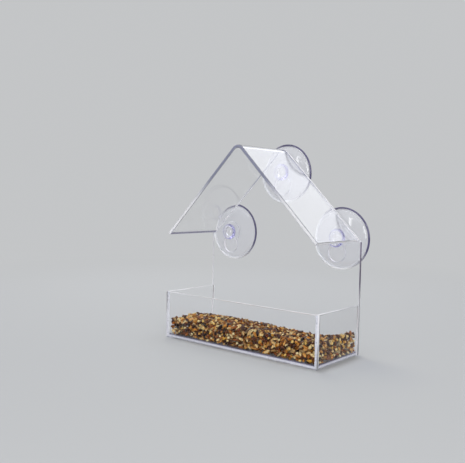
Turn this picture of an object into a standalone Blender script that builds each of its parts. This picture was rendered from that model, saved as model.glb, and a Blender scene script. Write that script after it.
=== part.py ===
"""A clear acrylic window bird feeder: a house-shaped panel, a bent roof and a seed tray, on three suction cups.

Metres, +Z up. The birds are on the -Y side and the window pane on the +Y side.
The origin is the middle of the tray's underside.
"""

import math

import bmesh
import bpy
from mathutils import Matrix

MM = 0.001

# Acrylic sheet
SHEET = 2.5 * MM
GAP = 0.3 * MM
EDGE_BREAK = 0.25 * MM
EDGE_SEGMENTS = 2
EDGE_ANGLE = math.radians(50.0)
MERGE_DISTANCE = 0.001 * MM

# Back panel and roof
PANEL_WIDTH = 152.0 * MM
BODY_DEPTH = 61.0 * MM
RIDGE_HEIGHT = 161.0 * MM
ROOF_PITCH = math.radians(45.0)
RIDGE_RADIUS = 7.0 * MM
RIDGE_SEGMENTS = 12
EAVE_SETBACK = 1.5 * MM

# Seed tray
TRAY_HEIGHT = 39.0 * MM

# Suction cup
CUP_RADIUS = 25.0 * MM
CUP_HEIGHT = 5.5 * MM
CUP_STEPS = 32
LIP_WIDTH = 3.2 * MM
LIP_THICKNESS = 1.0 * MM
LIP_TAPER = 0.25 * MM
LIP_STEP = 0.4 * MM
RIM_FACE_WIDTH = 1.9 * MM
CAVITY_DEPTH = 2.6 * MM
BOSS_RADIUS = 9.0 * MM
BOSS_STEP = 0.8 * MM
DOME_RISE = 0.5 * MM
DOME_SEGMENTS = 5
CAVITY_SEGMENTS = 6
NECK_RADIUS = 3.4 * MM
HEAD_RADIUS = 6.8 * MM
HEAD_HEIGHT = 4.6 * MM
HEAD_BRIM = 1.5 * MM
BRIM_INSET = 1.1 * MM
CROWN_SEGMENTS = 6
BRIM_SEGMENTS = 3
ROUND_RADIUS = 0.5 * MM
ROUND_SEGMENTS = 2

# Keyholes, measured from the axis of the cup that stands in each
KEYHOLE_DROP = 11.0 * MM
ENTRY_CLEARANCE = 0.7 * MM
ENTRY_SEGMENTS = 20
SLOT_SEGMENTS = 10
UPPER_CUP_DROP = 20.0 * MM
LOWER_CUP_INSET = 21.0 * MM

# Heap of seed: the share of the half width where each station stands, and there the shares of the tray's height
# that the seed reaches at the front wall, along the crest and at the panel
HEAP_STATION_SHARES = (
    (-1.00, 0.42, 0.41, 0.25),
    (-0.45, 0.49, 0.45, 0.25),
    (0.25, 0.50, 0.43, 0.22),
    (0.70, 0.48, 0.40, 0.24),
    (1.00, 0.48, 0.46, 0.47),
)
CREST_SHARE = -0.10
HEAP_COLUMNS = 48
HEAP_ROWS = 18
HEAP_SIDE_ROWS = 5

# Lumps of the heap, where its larger grains lie: crossed waves, each with its direction and phase
LUMP_SPACING = 10.0 * MM
LUMP_HEIGHT = 2.8 * MM
LUMP_WAVES = (
    (math.radians(12.0), math.radians(30.0)),
    (math.radians(74.0), math.radians(200.0)),
    (math.radians(131.0), math.radians(95.0)),
)
SEED_SMOOTHING = 0.25
SEED_EDGE_ANGLE = math.radians(75.0)

# Worked out from the sizes above
HALF_WIDTH = PANEL_WIDTH / 2
FRONT_Y = -BODY_DEPTH / 2
WINDOW_Y = BODY_DEPTH / 2
PANEL_FRONT_Y = WINDOW_Y - SHEET
WALL_BACK_Y = FRONT_Y + SHEET
BAY_DEPTH = PANEL_FRONT_Y - WALL_BACK_Y
BAY_MIDDLE_Y = (PANEL_FRONT_Y + WALL_BACK_Y) / 2
BAY_HALF_WIDTH = HALF_WIDTH - SHEET
RIDGE_CENTRE_Z = RIDGE_HEIGHT - RIDGE_RADIUS
APEX_Z = RIDGE_CENTRE_Z + RIDGE_RADIUS / math.cos(ROOF_PITCH)
EAVE_HALF_SPAN = HALF_WIDTH - EAVE_SETBACK
EAVE_Z = APEX_Z - EAVE_HALF_SPAN * math.tan(ROOF_PITCH)
SHOULDER_Z = APEX_Z - HALF_WIDTH * math.tan(ROOF_PITCH)
SLOT_HALF_WIDTH = NECK_RADIUS + GAP
ENTRY_RADIUS = HEAD_RADIUS + ENTRY_CLEARANCE
NECK_LENGTH = SHEET + 2 * GAP
RIM_Y = WINDOW_Y + GAP + CUP_HEIGHT
CUP_PLACES = {
    "upper_cup": (0.0, RIDGE_HEIGHT - UPPER_CUP_DROP),
    "left_cup": (LOWER_CUP_INSET - HALF_WIDTH, EAVE_Z),
    "right_cup": (HALF_WIDTH - LOWER_CUP_INSET, EAVE_Z),
}


def clear_scene():
    """Remove whatever the file holds, so that the script can be run again."""
    for obj in list(bpy.data.objects):
        bpy.data.objects.remove(obj, do_unlink=True)
    for collection in list(bpy.data.collections):
        bpy.data.collections.remove(collection)


def make_collection(name):
    collection = bpy.data.collections.new(name)
    bpy.context.scene.collection.children.link(collection)
    return collection


def make_material(name, color, roughness, metallic=0.0, transmission=0.0, ior=1.5):
    material = bpy.data.materials.new(name)
    material.use_nodes = True
    shader = material.node_tree.nodes["Principled BSDF"]
    shader.inputs["Base Color"].default_value = (*color, 1.0)
    shader.inputs["Roughness"].default_value = roughness
    shader.inputs["Metallic"].default_value = metallic
    shader.inputs["Transmission Weight"].default_value = transmission
    shader.inputs["IOR"].default_value = ior
    material.diffuse_color = (*color, 1.0)
    return material


def add_object(name, mesh, collection, material):
    obj = bpy.data.objects.new(name, mesh)
    collection.objects.link(obj)
    if material:
        obj.data.materials.clear()
        obj.data.materials.append(material)
    return obj


def arc(centre, radii, start, end, segments):
    """Points on an arc or an ellipse's arc from start to end, both ends included; angles are in radians."""
    points = []
    for step in range(segments + 1):
        angle = start + (end - start) * step / segments
        points.append((centre[0] + radii[0] * math.cos(angle), centre[1] + radii[1] * math.sin(angle)))
    return points


def break_edges(obj, width=EDGE_BREAK):
    """The small polished round on a cut edge of the sheet."""
    bevel = obj.modifiers.new("polished_edges", "BEVEL")
    bevel.width = width
    bevel.segments = EDGE_SEGMENTS
    bevel.limit_method = "ANGLE"
    bevel.angle_limit = EDGE_ANGLE
    bevel.use_clamp_overlap = True


def plate(name, size, centre, collection, material):
    """A rectangular piece of sheet."""
    bm = bmesh.new()
    bmesh.ops.create_cube(bm, size=1.0)
    bmesh.ops.scale(bm, vec=size, verts=bm.verts)
    mesh = bpy.data.meshes.new(name)
    bm.to_mesh(mesh)
    bm.free()
    obj = add_object(name, mesh, collection, material)
    obj.location = centre
    break_edges(obj)
    return obj


def sheet_from_outlines(name, outlines, collection, material):
    """A flat sheet cut to closed XZ outlines: the first is its edge and the others are holes."""
    curve = bpy.data.curves.new(name + "_outline", "CURVE")
    curve.dimensions = "2D"
    curve.fill_mode = "BOTH"
    curve.extrude = SHEET / 2
    for points in outlines:
        spline = curve.splines.new("POLY")
        spline.points.add(len(points) - 1)
        spline.use_cyclic_u = True
        for spot, (x, z) in zip(spline.points, points):
            spot.co = (x, z, 0.0, 1.0)
    guide = bpy.data.objects.new(name + "_outline", curve)
    guide.matrix_world = Matrix.Rotation(math.radians(90), 4, "X")
    collection.objects.link(guide)
    bpy.context.view_layer.update()
    evaluated = guide.evaluated_get(bpy.context.evaluated_depsgraph_get())
    mesh = bpy.data.meshes.new_from_object(evaluated)
    bm = bmesh.new()
    bm.from_mesh(mesh)
    bmesh.ops.remove_doubles(bm, verts=bm.verts, dist=MERGE_DISTANCE)
    bmesh.ops.recalc_face_normals(bm, faces=bm.faces)
    bm.to_mesh(mesh)
    bm.free()
    mesh.name = name
    obj = add_object(name, mesh, collection, material)
    obj.matrix_world = guide.matrix_world.copy()
    bpy.data.objects.remove(guide, do_unlink=True)
    return obj


def panel_outline():
    """The house shape: upright sides, shoulders at the eaves and a rounded apex flush with the roof."""
    side = math.pi / 2 - ROOF_PITCH
    ridge = arc((0.0, RIDGE_CENTRE_Z), (RIDGE_RADIUS, RIDGE_RADIUS), side, math.pi - side, RIDGE_SEGMENTS)
    points = [(-HALF_WIDTH, 0.0), (HALF_WIDTH, 0.0), (HALF_WIDTH, SHOULDER_Z)]
    return points + ridge + [(-HALF_WIDTH, SHOULDER_Z)]


def keyhole_outline(x, z):
    """A slot with a round top at the cup's axis, opening below into the entry hole that the head passes."""
    entry_z = z - KEYHOLE_DROP
    mouth = math.asin(SLOT_HALF_WIDTH / ENTRY_RADIUS)
    upright = math.pi / 2
    entry = arc(
        (x, entry_z), (ENTRY_RADIUS, ENTRY_RADIUS), upright + mouth, 5 * upright - mouth, ENTRY_SEGMENTS
    )
    top = arc((x, z), (SLOT_HALF_WIDTH, SLOT_HALF_WIDTH), 0.0, math.pi, SLOT_SEGMENTS)
    return entry + top


def make_back_panel(collection, material):
    outlines = [panel_outline()]
    outlines += [keyhole_outline(x, z) for x, z in CUP_PLACES.values()]
    panel = sheet_from_outlines("back_panel", outlines, collection, material)
    panel.location.y = WINDOW_Y - SHEET / 2
    break_edges(panel)
    return panel


def make_roof(collection, material):
    """One sheet bent over the ridge: the outer surface as a swept line, thickened inwards."""
    side = math.pi / 2 - ROOF_PITCH
    ridge = arc((0.0, RIDGE_CENTRE_Z), (RIDGE_RADIUS, RIDGE_RADIUS), math.pi - side, side, RIDGE_SEGMENTS)
    profile = [(-EAVE_HALF_SPAN, EAVE_Z)] + ridge + [(EAVE_HALF_SPAN, EAVE_Z)]
    back_y = PANEL_FRONT_Y - GAP
    bm = bmesh.new()
    line = [bm.verts.new((x, FRONT_Y, z)) for x, z in profile]
    edges = [bm.edges.new(pair) for pair in zip(line, line[1:])]
    swept = bmesh.ops.extrude_edge_only(bm, edges=edges)["geom"]
    moved = [item for item in swept if isinstance(item, bmesh.types.BMVert)]
    bmesh.ops.translate(bm, verts=moved, vec=(0.0, back_y - FRONT_Y, 0.0))
    bmesh.ops.recalc_face_normals(bm, faces=bm.faces)
    upward = sum(face.normal.z for face in bm.faces)
    if upward < 0:
        bmesh.ops.reverse_faces(bm, faces=bm.faces)
    mesh = bpy.data.meshes.new("roof")
    bm.to_mesh(mesh)
    bm.free()
    roof = add_object("roof", mesh, collection, material)
    thicken = roof.modifiers.new("sheet", "SOLIDIFY")
    thicken.thickness = SHEET
    thicken.offset = -1.0
    thicken.use_even_offset = True
    break_edges(roof)
    return roof


def make_tray(collection, material):
    """The front wall runs the whole width; the ends stand between it and the panel, and the floor between all."""
    plate(
        "tray_front",
        (PANEL_WIDTH, SHEET, TRAY_HEIGHT),
        (0.0, FRONT_Y + SHEET / 2, TRAY_HEIGHT / 2),
        collection,
        material,
    )
    for name, side in (("tray_left_end", -1), ("tray_right_end", 1)):
        plate(
            name,
            (SHEET, BAY_DEPTH - 2 * GAP, TRAY_HEIGHT),
            (side * (HALF_WIDTH - SHEET / 2), BAY_MIDDLE_Y, TRAY_HEIGHT / 2),
            collection,
            material,
        )
    plate(
        "tray_floor",
        (2 * (BAY_HALF_WIDTH - GAP), BAY_DEPTH - 2 * GAP, SHEET),
        (0.0, BAY_MIDDLE_Y, SHEET / 2),
        collection,
        material,
    )


def cup_profile():
    """Half section of a cup at +X, down its outer side from the crown and back in along the hollow.

    Height 0 is the rim's plane, which lies on the window, and the head is on top.
    """
    quarter = math.pi / 2
    head_z = CUP_HEIGHT + NECK_LENGTH
    brim_z = head_z + HEAD_BRIM
    top_z = head_z + HEAD_HEIGHT
    points = arc((0.0, brim_z), (HEAD_RADIUS, top_z - brim_z), quarter, 0.0, CROWN_SEGMENTS)
    brim_centre = (HEAD_RADIUS - BRIM_INSET, brim_z)
    points += arc(brim_centre, (BRIM_INSET, HEAD_BRIM), 0.0, -quarter, BRIM_SEGMENTS)[1:]

    points += [(NECK_RADIUS, head_z), (NECK_RADIUS, CUP_HEIGHT)]
    boss_centre = (BOSS_RADIUS - ROUND_RADIUS, CUP_HEIGHT - ROUND_RADIUS)
    points += arc(boss_centre, (ROUND_RADIUS, ROUND_RADIUS), quarter, 0.0, ROUND_SEGMENTS)

    lip_inner = CUP_RADIUS - LIP_WIDTH
    dome_top_z = CUP_HEIGHT - BOSS_STEP
    dome_foot_z = LIP_THICKNESS + LIP_STEP
    for step in range(DOME_SEGMENTS + 1):
        share = step / DOME_SEGMENTS
        radius = BOSS_RADIUS + (lip_inner - BOSS_RADIUS) * share
        straight = dome_top_z + (dome_foot_z - dome_top_z) * share
        points.append((radius, straight + 4 * DOME_RISE * share * (1 - share)))

    lip_edge = LIP_THICKNESS - LIP_TAPER
    points.append((lip_inner + LIP_STEP, LIP_THICKNESS))
    edge_centre = (CUP_RADIUS - lip_edge / 2, lip_edge / 2)
    points += arc(edge_centre, (lip_edge / 2, lip_edge / 2), quarter, -quarter, 2 * ROUND_SEGMENTS)

    hollow_radius = CUP_RADIUS - lip_edge / 2 - RIM_FACE_WIDTH
    for step in range(CAVITY_SEGMENTS + 1):
        share = step / CAVITY_SEGMENTS
        points.append((hollow_radius * (1 - share), CAVITY_DEPTH * math.sin(quarter * share)))
    return points


def make_cups(collection, material):
    """Three alike mouldings, each with its origin on its own axis in the rim's plane and its head towards -Y."""
    profile = cup_profile()
    mesh = bpy.data.meshes.new("suction_cup")
    mesh.from_pydata([(r, 0.0, z) for r, z in profile], [(i, i + 1) for i in range(len(profile) - 1)], [])
    for name, (x, z) in CUP_PLACES.items():
        cup = add_object(name, mesh, collection, material)
        cup.location = (x, RIM_Y, z)
        cup.rotation_euler = (math.radians(90), 0.0, 0.0)
        turn = cup.modifiers.new("turned_section", "SCREW")
        turn.steps = CUP_STEPS
        turn.render_steps = CUP_STEPS
        turn.use_merge_vertices = True
        turn.merge_threshold = MERGE_DISTANCE
        turn.use_smooth_shade = True


def heap_height(across, back):
    """Top of the seed at a share of the half width and of the half depth, each from -1 to 1."""
    stations = HEAP_STATION_SHARES
    index = 0
    while index < len(stations) - 2 and across > stations[index + 1][0]:
        index += 1
    low, high = stations[index], stations[index + 1]
    share = (across - low[0]) / (high[0] - low[0])
    blend = share * share * (3 - 2 * share)
    front, crest, rear = (a + (b - a) * blend for a, b in zip(low[1:], high[1:]))
    if back < CREST_SHARE:
        side, reach = front, (CREST_SHARE - back) / (CREST_SHARE + 1)
    else:
        side, reach = rear, (back - CREST_SHARE) / (1 - CREST_SHARE)
    return TRAY_HEIGHT * (crest + (side - crest) * reach * reach)


def lump(along, across):
    """Where the heap's skin lies between its hollows, 0, and its crests, 1."""
    total = 0.0
    for direction, phase in LUMP_WAVES:
        way = along * math.cos(direction) + across * math.sin(direction)
        total += math.sin(2 * math.pi * way / LUMP_SPACING + phase)
    return (1 + math.tanh(total)) / 2


def make_seed(collection, material):
    """The heap that fills the tray from wall to wall: a raised, lumpy grid with hollows along its sides."""
    half_width = BAY_HALF_WIDTH - GAP
    half_depth = BAY_DEPTH / 2 - GAP
    bm = bmesh.new()
    bmesh.ops.create_grid(bm, x_segments=HEAP_COLUMNS, y_segments=HEAP_ROWS, size=1.0)
    under = list(bm.faces)
    extruded = bmesh.ops.extrude_face_region(bm, geom=under)["geom"]
    top = {item for item in extruded if isinstance(item, bmesh.types.BMVert)}
    bmesh.ops.dissolve_faces(bm, faces=under)
    for vert in bm.verts:
        x, y = vert.co.x * half_width, vert.co.y * half_depth
        z = SHEET + GAP
        if vert in top:
            z = heap_height(vert.co.x, vert.co.y) + LUMP_HEIGHT * (lump(x, y) - 0.5)
        vert.co = (x, y, z)
    uprights = [edge for edge in bm.edges if (edge.verts[0] in top) != (edge.verts[1] in top)]
    bmesh.ops.subdivide_edges(bm, edges=uprights, cuts=HEAP_SIDE_ROWS - 1, use_grid_fill=True)
    for vert in bm.verts:
        x, y, z = vert.co
        # The sum of x and y runs along every side and on round the corners
        hollow = LUMP_HEIGHT * (1 - lump(x + y, z))
        if abs(x) > half_width - MERGE_DISTANCE:
            vert.co.x = math.copysign(half_width - hollow, x)
        if abs(y) > half_depth - MERGE_DISTANCE:
            vert.co.y = math.copysign(half_depth - hollow, y)
    above = [vert for vert in bm.verts if vert.co.z > SHEET + GAP + MERGE_DISTANCE]
    bmesh.ops.smooth_vert(
        bm, verts=above, factor=SEED_SMOOTHING, use_axis_x=True, use_axis_y=True, use_axis_z=True
    )
    bmesh.ops.recalc_face_normals(bm, faces=bm.faces)
    mesh = bpy.data.meshes.new("seed_mix")
    bm.to_mesh(mesh)
    bm.free()
    mesh.shade_smooth()
    mesh.set_sharp_from_angle(angle=SEED_EDGE_ANGLE)
    seed = add_object("seed_mix", mesh, collection, material)
    seed.location.y = BAY_MIDDLE_Y


def main():
    clear_scene()
    feeder = make_collection("window_bird_feeder")
    acrylic = make_material("clear_acrylic", (0.96, 0.98, 0.98), 0.04, transmission=1.0, ior=1.49)
    vinyl = make_material("clear_soft_pvc", (0.90, 0.92, 0.97), 0.12, transmission=0.9, ior=1.53)
    grain = make_material("mixed_seed", (0.42, 0.24, 0.09), 0.7)
    make_back_panel(feeder, acrylic)
    make_roof(feeder, acrylic)
    make_tray(feeder, acrylic)
    make_cups(feeder, vinyl)
    make_seed(feeder, grain)


main()
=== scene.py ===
import math

import bmesh
import bpy
import numpy as np
from mathutils import Matrix, Vector
from mathutils.bvhtree import BVHTree


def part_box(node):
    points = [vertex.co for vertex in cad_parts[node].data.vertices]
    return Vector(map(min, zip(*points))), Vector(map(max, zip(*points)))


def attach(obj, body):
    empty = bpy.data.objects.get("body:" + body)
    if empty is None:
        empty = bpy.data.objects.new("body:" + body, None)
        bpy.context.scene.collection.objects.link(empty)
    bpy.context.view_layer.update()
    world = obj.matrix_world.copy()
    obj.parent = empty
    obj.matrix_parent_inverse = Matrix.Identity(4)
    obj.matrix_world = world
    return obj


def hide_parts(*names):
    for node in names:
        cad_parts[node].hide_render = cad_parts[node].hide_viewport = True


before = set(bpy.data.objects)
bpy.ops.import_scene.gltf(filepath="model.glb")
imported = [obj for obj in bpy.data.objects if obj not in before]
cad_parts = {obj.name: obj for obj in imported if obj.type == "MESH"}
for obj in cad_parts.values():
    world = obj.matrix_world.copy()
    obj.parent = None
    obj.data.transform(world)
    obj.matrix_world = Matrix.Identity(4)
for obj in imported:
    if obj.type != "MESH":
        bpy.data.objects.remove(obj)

MM = 0.001
RIGHT_ANGLE = math.radians(90)
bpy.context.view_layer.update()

# Places read from the frame
panel_low, panel_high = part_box("back_panel")
roof_low, roof_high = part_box("roof")
front_low, front_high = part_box("tray_front")
right_low, right_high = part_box("tray_right_end")
floor_low, floor_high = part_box("tray_floor")
seed_low, seed_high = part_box("seed_mix")

# Turns of a sheet that is drawn flat
UPRIGHT = Matrix.Rotation(RIGHT_ANGLE, 4, "X")
SIDEWAYS = Matrix.Rotation(RIGHT_ANGLE, 4, "Z") @ UPRIGHT
FLAT = Matrix.Identity(4)

# Sheet
SHEET = panel_high.y - panel_low.y
ARRIS = 0.5 * MM
ARRIS_STEPS = 2
MERGE_DISTANCE = 0.002 * MM
ROOF_PITCH = math.radians(45.0)
ROOF_SIDE = RIGHT_ANGLE - ROOF_PITCH
ROOF_DOWN = Vector((math.cos(ROOF_PITCH), -math.sin(ROOF_PITCH)))
ROOF_INWARD = Vector((-math.sin(ROOF_PITCH), -math.cos(ROOF_PITCH)))
RIDGE_RADIUS = 7.0 * MM
RIDGE_STEPS = 40
EAVE_ROUND = 0.6 * MM
EAVE_STEPS = 4
EAVE_BAND = 2.2 * MM
EAVE_SLACK = 0.01 * MM
HALF_WIDTH = panel_high.x
RIDGE_CENTRE = (0.0, roof_high.z - RIDGE_RADIUS)
APEX_Z = RIDGE_CENTRE[1] + RIDGE_RADIUS / math.cos(ROOF_PITCH)
SHOULDER_Z = APEX_Z - HALF_WIDTH * math.tan(ROOF_PITCH)
EAVE_X = roof_high.x
EAVE_Z = APEX_Z - EAVE_X * math.tan(ROOF_PITCH)

# A face counts as facing an axis above the first share of its normal, and as across it below the second
FACING = 0.95
ACROSS = 0.3

# Places in the lists of materials
FACE, EDGE, ROUNDED = range(3)
PANEL_RIGHT_EDGE = 3
ROOF_INSIDE, PAINTED_EAVE_SHADE = 3, 4
CUP_WALL, CUP_RIM, CUP_BRIM = range(3)

# Cement in the gaps between the sheets
SEAM_DEPTH = 0.26 * MM
SEAM_ROUND = 0.06 * MM
SEAM_BEAD = 0.3 * MM
SEAM_WAVER = 0.15 * MM
FLOOR_SEAM_WAVER = 0.1 * MM
ROOF_SEAM_WAVER = 0.2 * MM
SEAM_FOOT = 0.3 * MM
SEAM_SETBACK = 0.2 * MM
SEAM_STEPS = 48
SEAM_KNOT = 4
SEAM_SEED = 3

# Suction cup
CUP_RADIUS = 25.0 * MM
CUP_HEIGHT = 5.5 * MM
CUP_STEPS = 128
LIP_WIDTH = 3.2 * MM
LIP_THICKNESS = 1.0 * MM
LIP_TAPER = 0.25 * MM
LIP_STEP = 0.4 * MM
RIM_FACE_WIDTH = 1.9 * MM
CAVITY_DEPTH = 2.6 * MM
BOSS_RADIUS = 9.0 * MM
BOSS_STEP = 0.8 * MM
BOSS_STEPS = 6
DOME_RISE = 0.5 * MM
WALL_STEPS = 16
NECK_RADIUS = 3.4 * MM
HEAD_RADIUS = 6.8 * MM
HEAD_HEIGHT = 4.6 * MM
CROWN_STEPS = 18
HEAD_BRIM = 1.5 * MM
BRIM_INSET = 1.1 * MM
BRIM_STEPS = 8
ROUND_RADIUS = 0.5 * MM
ROUND_STEPS = 4
GAP = 0.3 * MM
NECK_LENGTH = SHEET + 2 * GAP
HEAD_BASE_Z = CUP_HEIGHT + NECK_LENGTH
RIM_EDGE_WIDTH = 1.2 * MM
BEAD_RADIUS = 0.85 * MM
BEAD_STEPS = 18
# The rim's painted shade lies toward SHADED_WAY and its painted light on the other side
SHADED_WAY = (0.78, 0.62)

# Keyholes
SLOT_HALF_WIDTH = NECK_RADIUS + GAP
ENTRY_RADIUS = HEAD_RADIUS + 0.7 * MM
KEYHOLE_DROP = 11.0 * MM
KEYHOLE_STEPS = 72

# Seed: each kind's share of the grains, half length, half width and half height in mm,
# how pointed its ends are and how tapered it is
GRAIN_KINDS = {
    "wheat": (0.42, 2.8, 1.30, 1.20, 0.58, 0.08),
    "canary": (0.20, 2.3, 1.00, 0.90, 0.74, 0.04),
    "millet": (0.12, 1.20, 1.10, 0.95, 0.52, 0.10),
    "milo": (0.07, 1.7, 1.60, 1.45, 0.48, 0.04),
    "oat": (0.07, 3.2, 1.05, 0.90, 0.72, 0.14),
    "husk": (0.06, 2.3, 1.15, 0.40, 0.60, 0.10),
    "maize": (0.04, 2.0, 1.70, 1.20, 0.33, 0.16),
    "sunflower": (0.02, 3.6, 1.75, 1.15, 0.55, 0.30),
}
# Display colours: each kind's from its darkest to its lightest grain, then the one of its marks
GRAIN_COLORS = {
    "wheat": (((22, 8, 2), (72, 32, 6), (150, 80, 18), (222, 152, 64), (255, 233, 172)), (32, 11, 2)),
    "canary": (((78, 34, 6), (196, 128, 40), (255, 235, 176)), (70, 30, 6)),
    "millet": (((196, 132, 40), (238, 196, 106), (254, 236, 182)), (152, 92, 30)),
    "milo": (((46, 16, 3), (120, 54, 12), (214, 142, 64)), (36, 12, 3)),
    "oat": (((86, 48, 14), (184, 134, 66), (253, 230, 174)), (94, 55, 22)),
    "husk": (((66, 28, 8), (128, 68, 26), (214, 148, 84)), (60, 27, 9)),
    "maize": (((196, 110, 16), (228, 150, 28), (242, 190, 76)), (248, 222, 150)),
    "sunflower": (((24, 16, 12), (46, 30, 20), (78, 54, 36)), (156, 134, 104)),
}
GRAIN_RINGS = 8
GRAIN_SIDES = 8
GRAIN_VARIANTS = 4
GRAIN_SEED = 100
SMALLEST_GRAIN = 0.88
GRAIN_GROWTH = 0.18

# Forms of the grains, as shares of their own sizes, and strengths of their marks
BOW = 0.12
SIDE_BOW = 0.15
CREASE = 0.30
CREASE_MARK = 0.8
GERM_START = 0.7
GERM_MARK = 0.6
RIB = 0.10
RIB_MARK = 0.7
CURL_ACROSS = 0.9
CURL_ALONG = 0.5
DENT = 0.20
LUMP = 0.06

# Heap
CELL = 0.5 * MM
YAWS = 24
TILT = 0.22
STEEPEST = 0.9
FLOOR_CLEARANCE = 0.05 * MM
RAY_HEIGHT = 10 * MM
SPOTS_TRIED = 8
MISSES_ALLOWED = 400
REST_PERCENTILE = 80
TOP_ROOM = 0.6
NESTING = 0.92
FREE_ROLL = 2 * math.pi
FLAT_ROLL = 0.7
SHOWN_DEPTH = 6.0 * MM
HOLLOW_REACH = 3.2 * MM
HEAP_SEED = 7
GRAINS_A_PIECE = 1225
GRAINS_A_ROW = 35
MAP_MARGIN = 0.06

# Camera, fitted to the feeder's corners in the picture
IMAGE_WIDTH = 465
FOCAL_PIXELS = 621.7
SENSOR_WIDTH = 36.0
CAMERA_PLACE = (306.9 * MM, -399.5 * MM, 121.3 * MM)
CAMERA_AZIMUTH = math.radians(40.06)
CAMERA_ELEVATION = math.radians(3.25)
CAMERA_ROLL = math.radians(1.1)

# Clear materials
ACRYLIC_IOR = 1.49
SOFT_PVC_IOR = 1.52
CEMENT_IOR = 1.45
NOISE_SPAN = (0.3, 0.7)
FACE_COLOR = (0.99, 0.99, 0.995)
CUT_EDGE_COLOR = (0.97, 0.96, 0.99)
ARRIS_COLOR = (0.86, 0.86, 0.92)
DEEP_ARRIS_COLOR = (0.58, 0.59, 0.72)
# Painted shade for the dark lines along the roof's left eave
EAVE_PAINTED_SHADE_COLOR = (0.22, 0.21, 0.33)
CEMENT_COLOR = (0.95, 0.94, 0.97)
PVC_COLOR = (0.955, 0.955, 0.99)
# The cup rim's painted light and painted shade
RIM_PAINTED_LIGHT = (1.0, 1.0, 1.0)
RIM_PAINTED_SHADE = (0.08, 0.07, 0.16)
BRIM_COLOR = (0.44, 0.42, 0.82)
PANEL_EDGE_COLOR = (0.90, 0.89, 0.94)
FOOT_FILM_COLOR = (0.88, 0.87, 0.94)

# Painted shade: the darker colours that some of them run to further up, and the heights where the run
# starts and ends
ROOF_EDGE_PAINTED_SHADE = ((0.28, 0.29, 0.39), 112.0 * MM, 138.0 * MM)
PANEL_EDGE_PAINTED_SHADE = ((0.20, 0.17, 0.25), 40.0 * MM, 58.0 * MM)
FOOT_FILM_PAINTED_SHADE = ((0.20, 0.18, 0.28), 1.5 * MM, 2.4 * MM)

# Studio: HIGH_SPAN is of a direction's height and BRIGHT_SPAN of its share along BRIGHT_WAY,
# FADE_SPAN is of the distance from the middle of the floor and DARK_SPAN of x on it
PALE = (0.55, 0.56, 0.57)
DIM = (0.16, 0.16, 0.22)
BRIGHT = (1.75, 1.78, 1.9)
BRIGHT_WAY = (0.77, 0.64, 0.0)
HIGH_SPAN = (0.3, 0.55)
BRIGHT_SPAN = (0.05, 0.4)
SKY_LIGHT = (0.27, 0.275, 0.285)
FLOOR_RADIUS = 6.0
FLOOR_SIDES = 64
FLOOR_DROP = 0.1 * MM
FADE_SPAN = (0.3, 0.75)
DARK_FLOOR = (0.05, 0.05, 0.06)
DARK_SPAN = (HALF_WIDTH, HALF_WIDTH + 30 * MM)
LIGHT_BOUNCES = 24

# Softboxes: place, width and height in metres, power in watts and whether gloss sees them
LAMP_AIM = (0.0, 0.0, 0.07)
SOFTBOXES = {
    "key": ((-0.55, 0.35, 1.15), (0.45, 0.45), 9.4, False),
    "fill": ((0.80, -0.80, 0.45), (0.7, 0.7), 8.4, True),
    "strip": ((-0.25, -1.25, 0.40), (0.10, 0.9), 1.8, True),
    "back": ((0.5, 1.0, 0.60), (0.8, 0.4), 2.0, False),
}


def new_material(name):
    material = bpy.data.materials.new(name)
    material.use_nodes = True
    return material


def principled(material):
    return material.node_tree.nodes["Principled BSDF"]


def feed(tree, socket, value):
    """A socket takes another node's output or a plain value."""
    if isinstance(value, bpy.types.NodeSocket):
        tree.links.new(value, socket)
    else:
        socket.default_value = value


def calculate(tree, operation, *values, clamp=False):
    node = tree.nodes.new("ShaderNodeMath")
    node.operation = operation
    node.use_clamp = clamp
    for socket, value in zip(node.inputs, values):
        feed(tree, socket, value)
    return node.outputs[0]


def measure(tree, operation, *vectors):
    """A number worked out from vectors."""
    node = tree.nodes.new("ShaderNodeVectorMath")
    node.operation = operation
    for socket, vector in zip(node.inputs, vectors):
        feed(tree, socket, vector)
    return node.outputs["Value"]


def axis_of(tree, vector, axis):
    node = tree.nodes.new("ShaderNodeSeparateXYZ")
    tree.links.new(vector, node.inputs[0])
    return node.outputs[axis]


def point_value(tree, name):
    """A number that the mesh keeps at each point."""
    node = tree.nodes.new("ShaderNodeAttribute")
    node.attribute_name = name
    return node.outputs["Fac"]


def spread(tree, value, start, end, low=0.0, high=1.0, way="LINEAR"):
    """The span from start to end, mapped to low..high."""
    node = tree.nodes.new("ShaderNodeMapRange")
    node.interpolation_type = way
    for label, number in (("From Min", start), ("From Max", end), ("To Min", low), ("To Max", high)):
        node.inputs[label].default_value = number
    tree.links.new(value, node.inputs["Value"])
    return node.outputs[0]


def ease(tree, value, start, end):
    """0 up to start, 1 from end on, and a soft step between them."""
    return spread(tree, value, start, end, way="SMOOTHSTEP")


def blend(tree, share, low, high, way="MIX"):
    """Two colours in one, with the share of the second."""
    node = tree.nodes.new("ShaderNodeMix")
    node.data_type = "RGBA"
    node.blend_type = way
    for label, value in (("Factor", share), ("A", low), ("B", high)):
        feed(tree, node.inputs[label], value)
    return node.outputs["Result"]


def mix_shaders(tree, share, low, high):
    node = tree.nodes.new("ShaderNodeMixShader")
    for socket, value in zip(node.inputs, (share, low, high)):
        tree.links.new(value, socket)
    return node.outputs[0]


def glow(tree, color):
    node = tree.nodes.new("ShaderNodeEmission")
    node.inputs["Color"].default_value = (*color, 1.0)
    return node.outputs[0]


def show(tree, shader, output="Material Output"):
    tree.links.new(shader, tree.nodes[output].inputs["Surface"])


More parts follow.
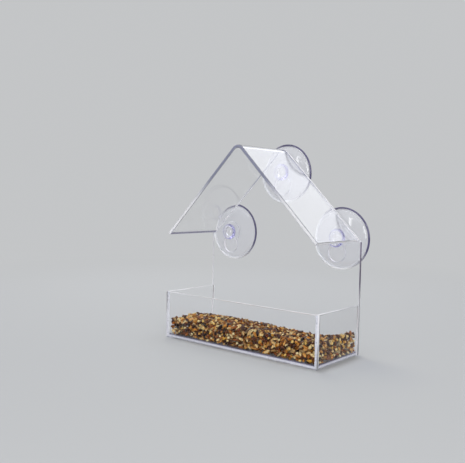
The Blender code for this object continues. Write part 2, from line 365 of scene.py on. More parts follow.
def noise_into(material, target, waves, low, high, detail=2.0):
    """A noise in object space, mapped to low..high, drives a number of the shader."""
    tree = material.node_tree
    noise = tree.nodes.new("ShaderNodeTexNoise")
    noise.inputs["Scale"].default_value = waves
    noise.inputs["Detail"].default_value = detail
    tree.links.new(tree.nodes.new("ShaderNodeTexCoord").outputs["Object"], noise.inputs["Vector"])
    level = noise.outputs["Fac"]
    tree.links.new(spread(tree, level, *NOISE_SPAN, low, high), principled(material).inputs[target])
    return level


def bump(material, height, strength, distance):
    tree = material.node_tree
    node = tree.nodes.new("ShaderNodeBump")
    node.inputs["Strength"].default_value = strength
    node.inputs["Distance"].default_value = distance
    tree.links.new(height, node.inputs["Height"])
    tree.links.new(node.outputs[0], principled(material).inputs["Normal"])


def clear_material(name, color, ior, transmission, passed):
    """The eye sees the Principled shader's glass; lamps and diffuse light pass it straight, tinted."""
    material = new_material(name)
    shader = principled(material)
    shader.inputs["Base Color"].default_value = (*color, 1.0)
    shader.inputs["IOR"].default_value = ior
    shader.inputs["Transmission Weight"].default_value = transmission
    tree = material.node_tree
    path = tree.nodes.new("ShaderNodeLightPath").outputs
    straight = calculate(tree, "MAXIMUM", path["Is Shadow Ray"], path["Is Diffuse Ray"])
    tint = tree.nodes.new("ShaderNodeBsdfTransparent")
    tint.inputs["Color"].default_value = (*passed, 1.0)
    show(tree, mix_shaders(tree, straight, shader.outputs[0], tint.outputs[0]))
    return material


def run_color(material, share, other):
    """The material's own colour runs to another one with the share."""
    base = principled(material).inputs["Base Color"]
    blended = blend(material.node_tree, share, tuple(base.default_value), (*other, 1.0))
    material.node_tree.links.new(blended, base)


def paint_shade_with_height(material, other, start, end):
    """Painted shade: the material's own colour runs to another, darker one between two heights above the
    feeder's foot.
    """
    tree = material.node_tree
    height = axis_of(tree, tree.nodes.new("ShaderNodeTexCoord").outputs["Object"], "Z")
    run_color(material, ease(tree, height, start, end), other)
    return material


def acrylic_face(name, mirrored):
    """The sheet's polished side, with the share of a plain sheet's reflection that it has."""
    passed = (0.97, 0.975, 0.98)
    material = clear_material(name, FACE_COLOR, ACRYLIC_IOR, transmission=1.0, passed=passed)
    principled(material).inputs["Specular Tint"].default_value = (mirrored, mirrored, mirrored, 1.0)
    noise_into(material, "Roughness", waves=60.0, low=0.0, high=0.015)
    return material


def acrylic_cut_edge(name):
    passed = (0.7, 0.72, 0.8)
    material = clear_material(name, CUT_EDGE_COLOR, ACRYLIC_IOR, transmission=0.12, passed=passed)
    level = noise_into(material, "Roughness", waves=500.0, low=0.18, high=0.26)
    bump(material, level, strength=0.06, distance=0.05 * MM)
    return material


def acrylic_arris(name, color):
    material = clear_material(name, color, ACRYLIC_IOR, transmission=0.6, passed=(0.6, 0.63, 0.7))
    noise_into(material, "Roughness", waves=700.0, low=0.08, high=0.2)
    return material


def acrylic_side_edge(name, color):
    material = clear_material(name, color, ACRYLIC_IOR, transmission=0.4, passed=(0.6, 0.62, 0.7))
    noise_into(material, "Roughness", waves=500.0, low=0.15, high=0.25)
    return material


def cement_film(name, color, transmission):
    material = clear_material(name, color, CEMENT_IOR, transmission, passed=(0.85, 0.86, 0.9))
    noise_into(material, "Roughness", waves=500.0, low=0.2, high=0.5)
    return material


def soft_pvc(name, color, transmission):
    material = clear_material(name, color, SOFT_PVC_IOR, transmission, passed=(0.93, 0.935, 0.97))
    ripple = noise_into(material, "Roughness", waves=110.0, low=0.01, high=0.06)
    bump(material, ripple, strength=0.35, distance=1.0 * MM)
    return material


def cup_rim():
    """Painted light and shade: the rim runs from its painted lit side's colour to its painted shaded
    side's.
    """
    material = soft_pvc("soft_pvc_rim", RIM_PAINTED_LIGHT, transmission=0.25)
    run_color(material, point_value(material.node_tree, "shade"), RIM_PAINTED_SHADE)
    return material


def link(obj, materials):
    bpy.context.scene.collection.objects.link(obj)
    for material in materials:
        obj.data.materials.append(material)
    return obj


def arc(centre, radii, start, end, steps):
    """Points on an ellipse's arc, both ends included."""
    points = []
    for step in range(steps + 1):
        angle = start + (end - start) * step / steps
        points.append((centre[0] + radii[0] * math.cos(angle), centre[1] + radii[1] * math.sin(angle)))
    return points


def prism(name, outlines, depth, round_size=ARRIS):
    """Closed XY outlines filled and given a depth along Z, with a small round along every cut edge."""
    curve = bpy.data.curves.new(name + "_outline", "CURVE")
    curve.dimensions = "2D"
    curve.fill_mode = "BOTH"
    curve.extrude = depth / 2 - round_size
    curve.bevel_depth = round_size
    curve.bevel_resolution = ARRIS_STEPS
    curve.offset = -round_size
    for points in outlines:
        spline = curve.splines.new("POLY")
        spline.points.add(len(points) - 1)
        spline.use_cyclic_u = True
        for spot, (x, y) in zip(spline.points, points):
            spot.co = (x, y, 0.0, 1.0)
    guide = bpy.data.objects.new(name + "_outline", curve)
    bpy.context.scene.collection.objects.link(guide)
    bpy.context.view_layer.update()
    mesh = bpy.data.meshes.new_from_object(guide.evaluated_get(bpy.context.evaluated_depsgraph_get()))
    bpy.data.objects.remove(guide, do_unlink=True)
    bm = bmesh.new()
    bm.from_mesh(mesh)
    bmesh.ops.remove_doubles(bm, verts=bm.verts, dist=MERGE_DISTANCE)
    bmesh.ops.recalc_face_normals(bm, faces=bm.faces)
    for face in bm.faces:
        across = abs(face.normal.z)
        face.material_index = FACE if across > FACING else EDGE if across < ACROSS else ROUNDED
        face.smooth = True
    bm.to_mesh(mesh)
    bm.free()
    mesh.name = name
    return mesh


def flatten_large_faces(obj):
    """Large flats keep one normal, so that only the small rounds bend what is seen through them."""
    weighted = obj.modifiers.new("flat_faces", "WEIGHTED_NORMAL")
    weighted.mode = "FACE_AREA"
    weighted.weight = 100
    weighted.keep_sharp = True


def sheet_piece(name, node, outlines, depth, turn, place, materials):
    mesh = prism(name, outlines, depth)
    mesh.transform(Matrix.Translation(place) @ turn)
    obj = link(bpy.data.objects.new(name, mesh), materials)
    flatten_large_faces(obj)
    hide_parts(node)
    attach(obj, "feeder")
    return obj


def rectangle(low, high):
    return [(low[0], low[1]), (high[0], low[1]), (high[0], high[1]), (low[0], high[1])]


def cup_places():
    """Each cup's body, the x and z of its axis and the y of its rim's plane."""
    places = {}
    for name in ("upper_cup", "left_cup", "right_cup"):
        low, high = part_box(name)
        places[name] = ((low.x + high.x) / 2, (low.z + high.z) / 2, high.y)
    return places


def keyhole(x, z):
    """The round entry hole's outline, open at its top, then the slot's round end around x, z."""
    mouth = math.asin(SLOT_HALF_WIDTH / ENTRY_RADIUS)
    entry = arc(
        (x, z - KEYHOLE_DROP),
        (ENTRY_RADIUS, ENTRY_RADIUS),
        RIGHT_ANGLE + mouth,
        5 * RIGHT_ANGLE - mouth,
        KEYHOLE_STEPS,
    )
    top = arc((x, z), (SLOT_HALF_WIDTH, SLOT_HALF_WIDTH), 0.0, math.pi, KEYHOLE_STEPS // 2)
    return entry + top


def make_panel(materials):
    outline = [(-HALF_WIDTH, 0.0), (HALF_WIDTH, 0.0), (HALF_WIDTH, SHOULDER_Z)]
    radii = (RIDGE_RADIUS, RIDGE_RADIUS)
    outline += arc(RIDGE_CENTRE, radii, ROOF_SIDE, math.pi - ROOF_SIDE, RIDGE_STEPS)
    outline.append((-HALF_WIDTH, SHOULDER_Z))
    outlines = [outline] + [keyhole(x, z) for x, z, _ in cup_places().values()]
    place = (0.0, (panel_low.y + panel_high.y) / 2, 0.0)
    panel = sheet_piece("back_panel_sheet", "back_panel", outlines, SHEET, UPRIGHT, place, materials)
    # Painted shade: only the panel's right edge gets the edge that darkens higher up
    for face in panel.data.polygons:
        if face.normal.x > ACROSS and face.center.x > HALF_WIDTH - ARRIS:
            face.material_index = PANEL_RIGHT_EDGE


def make_roof(materials):
    """The bent strip's section, its eaves cut square, swept from the front to the panel."""
    corner = Vector((EAVE_X, EAVE_Z))
    inner_corner = corner + ROOF_INWARD * SHEET
    band_end = EAVE_ROUND + EAVE_BAND
    outer_round = corner + ROOF_INWARD * EAVE_ROUND - ROOF_DOWN * EAVE_ROUND
    inner_round = corner + ROOF_INWARD * (SHEET - EAVE_ROUND) - ROOF_DOWN * EAVE_ROUND
    rounds = (EAVE_ROUND, EAVE_ROUND)
    right = arc(outer_round, rounds, ROOF_SIDE, ROOF_SIDE - RIGHT_ANGLE, EAVE_STEPS)
    right += arc(inner_round, rounds, ROOF_SIDE - RIGHT_ANGLE, ROOF_SIDE - 2 * RIGHT_ANGLE, EAVE_STEPS)
    right.append(tuple(inner_corner - ROOF_DOWN * band_end))
    left = [(-x, z) for x, z in reversed(right)]
    radii = (RIDGE_RADIUS, RIDGE_RADIUS)
    outer = arc(RIDGE_CENTRE, radii, math.pi - ROOF_SIDE, ROOF_SIDE, RIDGE_STEPS)
    radii = (RIDGE_RADIUS - SHEET, RIDGE_RADIUS - SHEET)
    inner = arc(RIDGE_CENTRE, radii, ROOF_SIDE, math.pi - ROOF_SIDE, RIDGE_STEPS)
    outline = outer + right + inner + left
    depth = roof_high.y - roof_low.y
    place = (0.0, (roof_low.y + roof_high.y) / 2, 0.0)
    roof = sheet_piece("roof_sheet", "roof", [outline], depth, UPRIGHT, place, materials)
    for face in roof.data.polygons:
        face.material_index = roof_material(face, corner, inner_corner, band_end)


def roof_material(face, corner, inner_corner, band_end):
    """Painted shade on the left eave only: dark lines on its cut's rounds and a dark band beside it on the
    underside.
    """
    along = abs(face.normal.y)
    under = face.normal.z < 0
    spot = face.center
    if along > FACING:
        return EDGE
    if along >= ACROSS:
        return ROUNDED
    if spot.z < corner.y + EAVE_SLACK and abs(spot.x) > inner_corner.x - EAVE_SLACK:
        outward = Vector((math.copysign(ROOF_DOWN.x, spot.x), 0.0, ROOF_DOWN.y))
        return EDGE if spot.x > 0 or face.normal.dot(outward) > FACING else PAINTED_EAVE_SHADE
    from_eave = (corner - Vector((abs(spot.x), spot.z))).dot(ROOF_DOWN)
    if under and spot.x < 0 and from_eave < band_end:
        return PAINTED_EAVE_SHADE
    return ROOF_INSIDE if under else FACE


def make_tray(materials):
    outline = rectangle((front_low.x, front_low.z), (front_high.x, front_high.z))
    place = (0.0, (front_low.y + front_high.y) / 2, 0.0)
    sheet_piece("tray_front_sheet", "tray_front", [outline], SHEET, UPRIGHT, place, materials)
    outline = rectangle((right_low.y, right_low.z), (right_high.y, right_high.z))
    for side, name in ((-1, "tray_left_end"), (1, "tray_right_end")):
        place = (side * (right_low.x + right_high.x) / 2, 0.0, 0.0)
        sheet_piece(name + "_sheet", name, [outline], SHEET, SIDEWAYS, place, materials)
    outline = rectangle((floor_low.x, floor_low.y), (floor_high.x, floor_high.y))
    place = (0.0, 0.0, (floor_low.z + floor_high.z) / 2)
    sheet_piece("tray_floor_sheet", "tray_floor", [outline], SHEET, FLAT, place, materials)


def wavy_strip(low, high, inner, outer, rng):
    """A long strip's outline along its second axis, with sides that run unevenly, as cement's do."""
    sides = []
    steps = np.arange(SEAM_STEPS + 1)
    knots = np.arange(0, SEAM_STEPS + 1, SEAM_KNOT)
    for waver, start in ((inner, low[0]), (outer, high[0])):
        wave = np.interp(steps, knots, rng.uniform(0.0, 1.0, len(knots)))
        sides.append([waver * value + start for value in wave])
    places = [low[1] + (high[1] - low[1]) * step / SEAM_STEPS for step in range(SEAM_STEPS + 1)]
    return list(zip(sides[1], places)) + list(zip(reversed(sides[0]), reversed(places)))


def seam_piece(name, outline, turn, place, material):
    """A film of set cement in the thin gap between two sheets."""
    mesh = prism(name, [outline], SEAM_DEPTH, SEAM_ROUND)
    mesh.transform(Matrix.Translation(place) @ turn)
    film = link(bpy.data.objects.new(name, mesh), [material])
    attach(film, "feeder")


def make_seams(material, foot):
    """Cement between the walls, the floor and the panel, and between the roof and the panel."""
    rng = np.random.default_rng(SEAM_SEED)
    inner, outer = right_low.x, right_high.x
    front_y = (front_high.y + right_low.y) / 2
    back_y = (right_high.y + panel_low.y) / 2
    side_x = (floor_high.x + right_low.x) / 2
    for side, label in ((-1, "left"), (1, "right")):
        for y, end in ((front_y, "front"), (back_y, "back")):
            low, high = (inner, SEAM_FOOT), (outer - SEAM_SETBACK, right_high.z - SEAM_SETBACK)
            strip = wavy_strip(low, high, -SEAM_BEAD, SEAM_WAVER, rng)
            outline = [(side * x, z) for x, z in strip]
            seam_piece(f"{label}_{end}_seam", outline, UPRIGHT, (0.0, y, 0.0), material)
        low, high = (SEAM_FOOT, floor_low.y), (floor_high.z, floor_high.y)
        strip = wavy_strip(low, high, FLOOR_SEAM_WAVER, SEAM_BEAD, rng)
        outline = [(y, z) for z, y in strip]
        seam_piece(f"{label}_floor_seam", outline, SIDEWAYS, (side * side_x, 0.0, 0.0), foot)
    front_y = (front_high.y + floor_low.y) / 2
    panel_y = (floor_high.y + panel_low.y) / 2
    for y, label in ((front_y, "front"), (panel_y, "panel")):
        low, high = (SEAM_FOOT, -floor_high.x), (floor_high.z, floor_high.x)
        strip = wavy_strip(low, high, FLOOR_SEAM_WAVER, SEAM_BEAD, rng)
        outline = [(x, z) for z, x in strip]
        seam_piece(f"{label}_floor_seam", outline, UPRIGHT, (0.0, y, 0.0), foot)
    length = (HALF_WIDTH - SHEET) / math.cos(ROOF_PITCH)
    place = (0.0, (roof_high.y + panel_low.y) / 2, 0.0)
    for side, label in ((-1, "left"), (1, "right")):
        low, high = (SEAM_SETBACK, RIDGE_RADIUS), (SHEET, length)
        strip = wavy_strip(low, high, ROOF_SEAM_WAVER, SEAM_BEAD, rng)
        outline = []
        for across, along in strip:
            spot = Vector((0.0, APEX_Z)) + ROOF_DOWN * along + ROOF_INWARD * across
            outline.append((side * spot.x, spot.y))
        seam_piece(f"{label}_roof_seam", outline, UPRIGHT, place, material)


def cup_profile():
    """Half section: the crown, the outside, the lip, then back along the hollow; rim at height 0."""
    rounds = (ROUND_RADIUS, ROUND_RADIUS)
    brim_z = HEAD_BASE_Z + HEAD_BRIM
    crown = (HEAD_RADIUS, HEAD_BASE_Z + HEAD_HEIGHT - brim_z)
    points = arc((0.0, brim_z), crown, RIGHT_ANGLE, 0.0, CROWN_STEPS)
    brim = (BRIM_INSET, HEAD_BRIM)
    points += arc((HEAD_RADIUS - BRIM_INSET, brim_z), brim, 0.0, -RIGHT_ANGLE, BRIM_STEPS)[1:]
    neck_round = (NECK_RADIUS + ROUND_RADIUS, HEAD_BASE_Z - ROUND_RADIUS)
    points += arc(neck_round, rounds, RIGHT_ANGLE, 2 * RIGHT_ANGLE, ROUND_STEPS)
    neck_foot = (NECK_RADIUS + ROUND_RADIUS, CUP_HEIGHT + ROUND_RADIUS)
    points += arc(neck_foot, rounds, 2 * RIGHT_ANGLE, 3 * RIGHT_ANGLE, ROUND_STEPS)
    boss_round = (BOSS_RADIUS - ROUND_RADIUS, CUP_HEIGHT - ROUND_RADIUS)
    points += arc(boss_round, rounds, RIGHT_ANGLE, 0.0, BOSS_STEPS)
    lip_inner = CUP_RADIUS - LIP_WIDTH
    dome_top_z = CUP_HEIGHT - BOSS_STEP
    dome_foot_z = LIP_THICKNESS + LIP_STEP
    for step in range(WALL_STEPS + 1):
        share = step / WALL_STEPS
        radius = BOSS_RADIUS + (lip_inner - BOSS_RADIUS) * share
        straight = dome_top_z + (dome_foot_z - dome_top_z) * share
        points.append((radius, straight + 4 * DOME_RISE * share * (1 - share)))
    points.append((lip_inner + LIP_STEP / 2, LIP_THICKNESS + LIP_STEP / 4))
    points.append((lip_inner + LIP_STEP, LIP_THICKNESS))
    bead = (CUP_RADIUS - BEAD_RADIUS, BEAD_RADIUS)
    points += arc(bead, (BEAD_RADIUS, BEAD_RADIUS), 2 * RIGHT_ANGLE, -RIGHT_ANGLE, BEAD_STEPS)
    hollow_radius = CUP_RADIUS - (LIP_THICKNESS - LIP_TAPER) / 2 - RIM_FACE_WIDTH
    for step in range(WALL_STEPS + 1):
        share = step / WALL_STEPS
        points.append((hollow_radius * (1 - share), CAVITY_DEPTH * math.sin(RIGHT_ANGLE * share)))
    return points


def turned(name, profile):
    """A closed mesh of the profile's radii and heights, turned once around Z."""
    bm = bmesh.new()
    line = [bm.verts.new((radius, 0.0, height)) for radius, height in profile]
    geometry = line + [bm.edges.new(pair) for pair in zip(line, line[1:])]
    whole = 4 * RIGHT_ANGLE
    bmesh.ops.spin(bm, geom=geometry, cent=(0, 0, 0), axis=(0, 0, 1), angle=whole, steps=CUP_STEPS)
    bmesh.ops.remove_doubles(bm, verts=bm.verts, dist=MERGE_DISTANCE)
    bmesh.ops.recalc_face_normals(bm, faces=bm.faces)
    for face in bm.faces:
        face.smooth = True
        spot = face.calc_center_median()
        at_rim = spot.to_2d().length > CUP_RADIUS - RIM_EDGE_WIDTH
        at_brim = spot.z > HEAD_BASE_Z and spot.to_2d().length > HEAD_RADIUS - BRIM_INSET
        face.material_index = CUP_RIM if at_rim else CUP_BRIM if at_brim else CUP_WALL
    mesh = bpy.data.meshes.new(name)
    bm.to_mesh(mesh)
    bm.free()
    return mesh


def make_cups(materials):
    profile = cup_profile()
    for name, (x, z, rim_y) in cup_places().items():
        mesh = turned(name + "_moulding", profile)
        # Each point's share of the rim's painted shade, growing toward SHADED_WAY
        shades = []
        for vert in mesh.vertices:
            share = vert.co.to_2d().dot(Vector(SHADED_WAY)) / CUP_RADIUS
            shades.append(min(max(0.5 + share, 0.0), 1.0))
        mesh.attributes.new("shade", "FLOAT", "POINT").data.foreach_set("value", shades)
        mesh.transform(Matrix.Translation((x, rim_y, z)) @ UPRIGHT)
        cup = link(bpy.data.objects.new(name + "_moulding", mesh), materials)
        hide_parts(name)
        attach(cup, name)


def grain_shape(kind, variant):
    """A closed grain along X: its points, its triangles, their places on a unit map, its points' marks."""
    _, half_length, half_width, half_height, pointed, taper = GRAIN_KINDS[kind]
    rng = np.random.default_rng(GRAIN_SEED + variant)
    lump, twist, bend = rng.uniform(-1.0, 1.0, 3)
    points, marks = [], []
    for ring in range(GRAIN_RINGS + 1):
        at_tip = ring in (0, GRAIN_RINGS)
        along = math.cos(math.pi * ring / GRAIN_RINGS)
        girth = 0.0 if at_tip else (1.0 - along * along) ** pointed * (1.0 - taper * along)
        for side in range(1 if at_tip else GRAIN_SIDES):
            turn = 2 * math.pi * side / GRAIN_SIDES
            across, up = math.sin(turn), -math.cos(turn)
            radius, mark, arch = girth, 0.0, BOW * bend * along * along
            if kind in ("wheat", "canary"):
                crease = 1.0 if side == 0 else 0.0
                radius = girth * (1.0 - CREASE * crease)
                mark = CREASE_MARK * crease + GERM_MARK * max(0.0, along - GERM_START)
            elif kind == "oat":
                radius = girth * (1.0 - RIB * (side % 2))
                mark = RIB_MARK * (side % 2)
            elif kind == "husk":
                arch = CURL_ACROSS * across * across + CURL_ALONG * along * along
                mark = 0.5 * (1.0 + up)
            elif kind == "sunflower":
                mark = float(side % 2)
            elif kind == "maize":
                radius = girth * (1.0 + DENT * math.sin(3 * turn + 3 * twist + 2 * along))
                mark = max(0.0, -along)
            else:
                radius = girth * (1.0 + LUMP * lump * math.sin(2 * turn + twist))
                mark = max(0.0, 4 * along - 3)
            points.append(
                (
                    along * half_length * MM,
                    (radius * across + SIDE_BOW * bend * along * along) * half_width * MM,
                    (radius * up + arch) * half_height * MM,
                )
            )
            marks.append(mark)
    faces, places = [], []
    for ring in range(GRAIN_RINGS):
        here, there = 1 + (ring - 1) * GRAIN_SIDES, 1 + ring * GRAIN_SIDES
        u0, u1 = ring / GRAIN_RINGS, (ring + 1) / GRAIN_RINGS
        for side in range(GRAIN_SIDES):
            beside = (side + 1) % GRAIN_SIDES
            v0, v1 = side / GRAIN_SIDES, (side + 1) / GRAIN_SIDES
            if ring == 0:
                faces.append((0, there + side, there + beside))
                places.append(((u0, (v0 + v1) / 2), (u1, v0), (u1, v1)))
            elif ring == GRAIN_RINGS - 1:
                faces.append((here + side, len(points) - 1, here + beside))
                places.append(((u0, v0), (u1, (v0 + v1) / 2), (u0, v1)))
            else:
                faces.append((here + side, there + side, there + beside))
                places.append(((u0, v0), (u1, v0), (u1, v1)))
                faces.append((here + side, there + beside, here + beside))
                places.append(((u0, v0), (u1, v1), (u0, v1)))
    return np.array(points), np.array(faces), np.array(places), np.array(marks)


def heap_tree():
    """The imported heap's skin, read from the frame."""
    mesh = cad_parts["seed_mix"].data
    return BVHTree.FromPolygons([v.co for v in mesh.vertices], [p.vertices for p in mesh.polygons])


def heap_target(tree, xs, ys):
    """Height of the heap's top over each cell; near the walls it is read HOLLOW_REACH further in."""
    above = seed_high.z + RAY_HEIGHT
    target = np.full((len(xs), len(ys)), floor_high.z)
    inner_xs = np.clip(xs, seed_low.x + HOLLOW_REACH, seed_high.x - HOLLOW_REACH)
    inner_ys = np.clip(ys, seed_low.y + HOLLOW_REACH, seed_high.y - HOLLOW_REACH)
    for i, x in enumerate(inner_xs):
        for j, y in enumerate(inner_ys):
            hit = tree.ray_cast((x, y, above), (0, 0, -1))[0]
            if hit:
                target[i, j] = hit.z
    return target


def footprint(size, yaw):
    """Cells under a lying grain: steps from its middle, places and the grain's half thickness there."""
    half_length, half_width, half_height = size
    reach = int(math.ceil(half_length / CELL))
    steps = np.arange(-reach, reach + 1)
    i, j = np.meshgrid(steps, steps, indexing="ij")
    x, y = i * CELL, j * CELL
    along = (x * math.cos(yaw) + y * math.sin(yaw)) / half_length
    across = (-x * math.sin(yaw) + y * math.cos(yaw)) / half_width
    inside = along * along + across * across < 1.0
    thick = half_height * np.sqrt(1.0 - along[inside] ** 2 - across[inside] ** 2)
    return i[inside], j[inside], x[inside], y[inside], thick


def lay_grains():
    """Drop grains on the lowest of a few random spots until the tray is filled to the heap's height."""
    rng = np.random.default_rng(HEAP_SEED)
    xs = np.arange(seed_low.x + CELL / 2, seed_high.x, CELL)
    ys = np.arange(seed_low.y + CELL / 2, seed_high.y, CELL)
    target = heap_target(heap_tree(), xs, ys)
    height = np.full(target.shape, floor_high.z + FLOOR_CLEARANCE)
    kinds = list(GRAIN_KINDS)
    chances = np.array([GRAIN_KINDS[kind][0] for kind in kinds])
    sizes = {kind: [part * MM for part in GRAIN_KINDS[kind][1:4]] for kind in kinds}
    prints = {}
    for kind in kinds:
        prints[kind] = [footprint(sizes[kind], math.pi * turn / YAWS) for turn in range(YAWS)]
    grains, misses = [], 0
    while misses < MISSES_ALLOWED:
        kind = kinds[rng.choice(len(kinds), p=chances / chances.sum())]
        turn = int(rng.integers(YAWS))
        i, j, x, y, thick = prints[kind][turn]
        spots = rng.integers((0, 0), target.shape, (SPOTS_TRIED, 2))
        room = target[spots[:, 0], spots[:, 1]] - height[spots[:, 0], spots[:, 1]]
        at = spots[int(room.argmax())]
        at[0] = min(max(at[0], -i.min()), target.shape[0] - 1 - i.max())
        at[1] = min(max(at[1], -j.min()), target.shape[1] - 1 - j.max())
        cells = (at[0] + i, at[1] + j)
        ground = height[cells]
        tilt_x, tilt_y = rng.normal(0.0, TILT, 2)
        slope_x = min(max((x * ground).sum() / (x * x).sum() + tilt_x, -STEEPEST), STEEPEST)
        slope_y = min(max((y * ground).sum() / (y * y).sum() + tilt_y, -STEEPEST), STEEPEST)
        plane = slope_x * x + slope_y * y
        rest = np.percentile(ground - plane + thick, REST_PERCENTILE)
        if rest + TOP_ROOM * sizes[kind][2] > target[tuple(at)]:
            misses += 1
            continue
        misses = 0
        height[cells] = np.maximum(ground, rest + plane + NESTING * thick)
        place = np.array((xs[at[0]], ys[at[1]], rest))
        wall_room = min(place[0] - xs[0], xs[-1] - place[0], place[1] - ys[0], ys[-1] - place[1])
        depth = min(wall_room, rest - floor_high.z, target[tuple(at)] - rest)
        tone, roll, growth = rng.uniform(0.0, 1.0, 3)
        yaw = math.pi * (turn / YAWS + rng.integers(2))
        if depth < SHOWN_DEPTH:
            grains.append((kind, place, grain_turn(kind, yaw, slope_x, slope_y, roll), tone, growth))
    return grains


def grain_turn(kind, yaw, slope_x, slope_y, roll):
    """A grain lies along its slope; slim kinds lie on any side, flat ones nearly flat."""
    up = Vector((-slope_x, -slope_y, 1.0)).normalized()
    east, north = math.cos(yaw), math.sin(yaw)
    along = Vector((east, north, slope_x * east + slope_y * north)).normalized()
    lying = Matrix((along, up.cross(along), up)).transposed()
    free = FREE_ROLL if kind in ("wheat", "canary", "oat") else FLAT_ROLL
    return np.array(lying @ Matrix.Rotation((roll - 0.5) * free, 3, "X"))


def make_grains():
    grains = lay_grains()
    for kind in GRAIN_KINDS:
        shapes = [grain_shape(kind, variant) for variant in range(GRAIN_VARIANTS)]
        chosen = [grain for grain in grains if grain[0] == kind]
        material = grain_skin(kind)
        for start in range(0, len(chosen), GRAINS_A_PIECE):
            name = f"{kind}_grains_{start // GRAINS_A_PIECE + 1}"
            grain_piece(name, chosen[start:start + GRAINS_A_PIECE], shapes, material)


def grain_piece(name, grains, shapes, material):
    """Many grains in one mesh, with each one's tone, its marks and its own cell of a map for baking."""
    points, faces, places, tones, marks = [], [], [], [], []
    offset = 0
    for index, (_, place, turn, tone, growth) in enumerate(grains):
        shape, corners, unit, mark = shapes[index % GRAIN_VARIANTS]
        points.append(shape * (SMALLEST_GRAIN + GRAIN_GROWTH * growth) @ turn.T + place)
        faces.append(corners + offset)
        cell = np.array((index % GRAINS_A_ROW, index // GRAINS_A_ROW))
        places.append((cell + MAP_MARGIN + (1.0 - 2 * MAP_MARGIN) * unit) / GRAINS_A_ROW)
        tones.append(np.full(len(shape), tone))
        marks.append(mark)
        offset += len(shape)
    low = (seed_low.x, seed_low.y, floor_high.z)
    high = (seed_high.x, seed_high.y, front_high.z)
    points = np.clip(np.concatenate(points), low, high)
    mesh = bpy.data.meshes.new(name)
    mesh.from_pydata(points.tolist(), [], np.concatenate(faces).tolist())
    for label, values in (("tone", tones), ("mark", marks)):
        attribute = mesh.attributes.new(label, "FLOAT", "POINT")
        attribute.data.foreach_set("value", np.concatenate(values).astype(np.float32))
    layer = mesh.uv_layers.new(name="OFBake")
    layer.uv.foreach_set("vector", np.concatenate(places).astype(np.float32).ravel())
    mesh.shade_smooth()
    piece = link(bpy.data.objects.new(name, mesh), [material])
    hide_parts("seed_mix")
    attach(piece, "feeder")


def linear(red, green, blue):
    """A display colour of 0 to 255 as the linear colour that shaders take."""
    parts = []
    for value in (red, green, blue):
        share = value / 255
        parts.append(share / 12.92 if share <= 0.04045 else ((share + 0.055) / 1.055) ** 2.4)
    return (*parts, 1.0)


def grain_skin(kind):
    """Each grain has its own tone of its kind's colours, its marks, a mottled skin and a slight shine."""
    tones, marked = GRAIN_COLORS[kind]
    material = new_material(kind + "_skin")
    shader = principled(material)
    shader.inputs["Specular IOR Level"].default_value = 0.25
    tree = material.node_tree
    ramp = tree.nodes.new("ShaderNodeValToRGB")
    stops = ramp.color_ramp.elements
    while len(stops) < len(tones):
        stops.new(0.5)
    for index, color in enumerate(tones):
        stops[index].position = index / (len(tones) - 1)
        stops[index].color = linear(*color)
    tree.links.new(point_value(tree, "tone"), ramp.inputs["Fac"])
    marking = blend(tree, point_value(tree, "mark"), ramp.outputs["Color"], linear(*marked))
    level = noise_into(material, "Roughness", waves=900.0, low=0.24, high=0.45, detail=4.0)
    grey = spread(tree, level, *NOISE_SPAN, low=0.3, high=1.15)
    tree.links.new(blend(tree, 0.7, marking, grey, "MULTIPLY"), shader.inputs["Base Color"])
    bump(material, level, strength=0.2, distance=0.12 * MM)
    return material


def make_camera():
    data = bpy.data.cameras.new("camera")
    data.sensor_width = SENSOR_WIDTH
    data.lens = FOCAL_PIXELS / IMAGE_WIDTH * SENSOR_WIDTH
    camera = bpy.data.objects.new("camera", data)
    bpy.context.scene.collection.objects.link(camera)
    back = Vector(
        (
            math.sin(CAMERA_AZIMUTH) * math.cos(CAMERA_ELEVATION),
            -math.cos(CAMERA_AZIMUTH) * math.cos(CAMERA_ELEVATION),
            math.sin(CAMERA_ELEVATION),
        )
    )
    turn = back.to_track_quat("Z", "Y").to_matrix().to_4x4()
    camera.matrix_world = Matrix.Translation(CAMERA_PLACE) @ turn @ Matrix.Rotation(CAMERA_ROLL, 4, "Z")
    bpy.context.scene.camera = camera


def make_stage():
    """A pale floor that fades into the world's own pale tone.

    Plain reflections see it dark on the feeder's right, so that no pane veils the seed. A ray that
    was refracted counts as glossy too, so only a glossy ray without transmission is a reflection.
    """
    mesh = bpy.data.meshes.new("floor")
    bm = bmesh.new()
    bmesh.ops.create_circle(bm, cap_ends=True, segments=FLOOR_SIDES, radius=FLOOR_RADIUS)
    bm.to_mesh(mesh)
    bm.free()
    floor = bpy.data.objects.new("floor", mesh)
    bpy.context.scene.collection.objects.link(floor)
    floor.location.z = -FLOOR_DROP
    material = new_material("pale_floor")
    shader = principled(material)
    shader.inputs["Base Color"].default_value = (*PALE, 1.0)
    shader.inputs["Roughness"].default_value = 0.9
    shader.inputs["Specular IOR Level"].default_value = 0.0
    tree = material.node_tree
    place = tree.nodes.new("ShaderNodeTexCoord").outputs["Object"]
    away = ease(tree, measure(tree, "LENGTH", place), *FADE_SPAN)
    pale = mix_shaders(tree, away, shader.outputs[0], glow(tree, PALE))
    beside = ease(tree, axis_of(tree, place, "X"), *DARK_SPAN)
    path = tree.nodes.new("ShaderNodeLightPath").outputs
    plain = calculate(tree, "SUBTRACT", path["Is Glossy Ray"], path["Is Transmission Ray"], clamp=True)
    mirrored = calculate(tree, "MULTIPLY", plain, beside)
    show(tree, mix_shaders(tree, mirrored, pale, glow(tree, DARK_FLOOR)))
    mesh.materials.append(material)


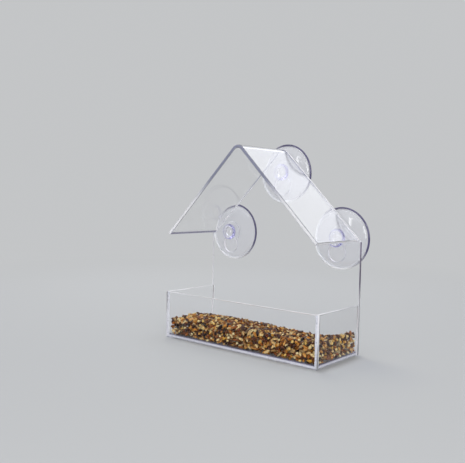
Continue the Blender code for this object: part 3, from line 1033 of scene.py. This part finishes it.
def make_world():
    """The eye, glass and gloss see a pale background; all else is lit by an even soft sky.

    Directions high up show a dim ceiling that is bright both ways along BRIGHT_WAY.
    """
    world = bpy.data.worlds.new("studio")
    world.use_nodes = True
    tree = world.node_tree
    lighting = tree.nodes["Background"]
    lighting.inputs["Color"].default_value = (*SKY_LIGHT, 1.0)
    way = tree.nodes.new("ShaderNodeTexCoord").outputs["Generated"]
    high = ease(tree, axis_of(tree, way, "Z"), *HIGH_SPAN)
    along = calculate(tree, "ABSOLUTE", measure(tree, "DOT_PRODUCT", way, BRIGHT_WAY))
    ceiling = blend(tree, ease(tree, along, *BRIGHT_SPAN), (*DIM, 1.0), (*BRIGHT, 1.0))
    seen = tree.nodes.new("ShaderNodeBackground")
    tree.links.new(blend(tree, high, (*PALE, 1.0), ceiling), seen.inputs["Color"])
    path = tree.nodes.new("ShaderNodeLightPath").outputs
    glass = calculate(tree, "MAXIMUM", path["Is Glossy Ray"], path["Is Transmission Ray"])
    looking = calculate(tree, "MAXIMUM", path["Is Camera Ray"], glass)
    show(tree, mix_shaders(tree, looking, lighting.outputs[0], seen.outputs[0]), "World Output")
    bpy.context.scene.world = world


def make_lights():
    """The camera and the look through glass don't see the softboxes."""
    for name, (place, size, power, in_gloss) in SOFTBOXES.items():
        data = bpy.data.lights.new(name, "AREA")
        data.shape = "RECTANGLE"
        data.size, data.size_y = size
        data.energy = power
        lamp = bpy.data.objects.new(name, data)
        bpy.context.scene.collection.objects.link(lamp)
        back = (Vector(place) - Vector(LAMP_AIM)).normalized()
        lamp.matrix_world = Matrix.Translation(place) @ back.to_track_quat("Z", "Y").to_matrix().to_4x4()
        lamp.visible_camera = False
        lamp.visible_transmission = False
        lamp.visible_glossy = in_gloss


face, edge = acrylic_face("acrylic_face", mirrored=0.1), acrylic_cut_edge("acrylic_cut_edge")
deep_arris = acrylic_arris("acrylic_deep_arris", DEEP_ARRIS_COLOR)
# Painted shade: the panel's right edge darkens higher up
right_edge = acrylic_side_edge("acrylic_panel_edge", PANEL_EDGE_COLOR)
make_panel([face, edge, deep_arris, paint_shade_with_height(right_edge, *PANEL_EDGE_PAINTED_SHADE)])
roof_face = acrylic_face("acrylic_roof_face", mirrored=1.0)
# Painted shade: the roof's cut edges darken toward the ridge
roof_edge = paint_shade_with_height(acrylic_cut_edge("acrylic_roof_edge"), *ROOF_EDGE_PAINTED_SHADE)
roof_inside = acrylic_face("acrylic_roof_inside", mirrored=0.4)
eave_painted_shade = acrylic_arris("acrylic_eave_arris", EAVE_PAINTED_SHADE_COLOR)
make_roof([roof_face, roof_edge, deep_arris, roof_inside, eave_painted_shade])
make_tray([face, edge, acrylic_arris("acrylic_arris", ARRIS_COLOR)])
film = cement_film("cement_film", CEMENT_COLOR, transmission=0.35)
# Painted shade: the cement at the floor's foot darkens along its top, just under the seed
foot_film = cement_film("cement_foot_film", FOOT_FILM_COLOR, transmission=0.1)
make_seams(film, paint_shade_with_height(foot_film, *FOOT_FILM_PAINTED_SHADE))
wall = soft_pvc("soft_pvc", PVC_COLOR, transmission=0.92)
brim = soft_pvc("soft_pvc_brim", BRIM_COLOR, transmission=0.9)
make_cups([wall, cup_rim(), brim])
make_grains()
make_camera()
make_stage()
make_world()
make_lights()

scene = bpy.context.scene
scene.view_settings.view_transform = "Standard"
scene.cycles.max_bounces = LIGHT_BOUNCES
scene.cycles.transmission_bounces = LIGHT_BOUNCES
scene.cycles.transparent_max_bounces = LIGHT_BOUNCES
